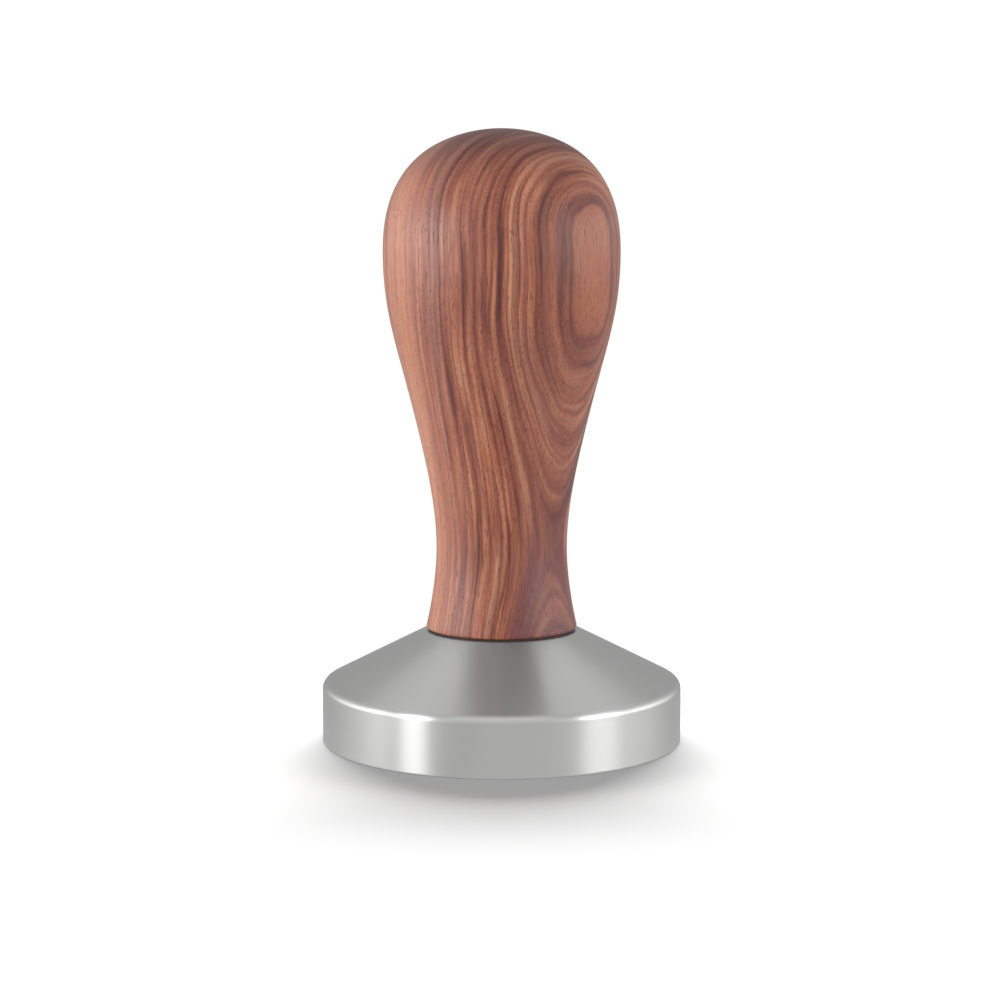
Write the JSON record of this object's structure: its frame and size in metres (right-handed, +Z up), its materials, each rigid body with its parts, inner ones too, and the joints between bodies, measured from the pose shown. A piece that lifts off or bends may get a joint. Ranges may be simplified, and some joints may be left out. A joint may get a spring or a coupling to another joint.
{
  "type": "espresso tamper",
  "caption": "Hand tamper for an espresso basket: turned steel base with a flat round face, screwed by a stud to a turned hardwood pear-shaped handle over a thin washer.",
  "frame": {"origin": "centre of the flat tamping face, which rests on Z = 0", "axes": "+Z up along the turning axis, from the tamping face towards the crown of the handle; X and Y across the round base"},
  "size_m": [0.058, 0.058, 0.0982],
  "materials": {
    "base_steel": "turned and brushed, satin",
    "washer": "matte, dark brown",
    "handle_wood": "satin oiled reddish hardwood with dark streaks",
    "insert_brass": "machined",
    "stud_steel": "machined, bright"
  },
  "bodies": {
    "base": {"tamper_base": "base_steel"},
    "washer": {"joint_washer": "washer"},
    "handle": {"wooden_handle": "handle_wood", "threaded_insert": "insert_brass", "threaded_stud": "stud_steel"}
  },
  "joints": [
    {"name": "handle_rise", "type": "slide", "parent": "base", "child": "washer", "axis": [0, 0, 1], "range_m": [0, 0.01125]},
    {"name": "handle_turn", "type": "hinge", "parent": "washer", "child": "handle", "pos_m": [0, 0, 0.018], "axis": [0, 0, 1], "range_deg": [0, 3241]}
  ],
  "couplings": [
    {"joint": "handle_turn", "follows": "handle_rise", "rad_per_m": 5026.5}
  ]
}
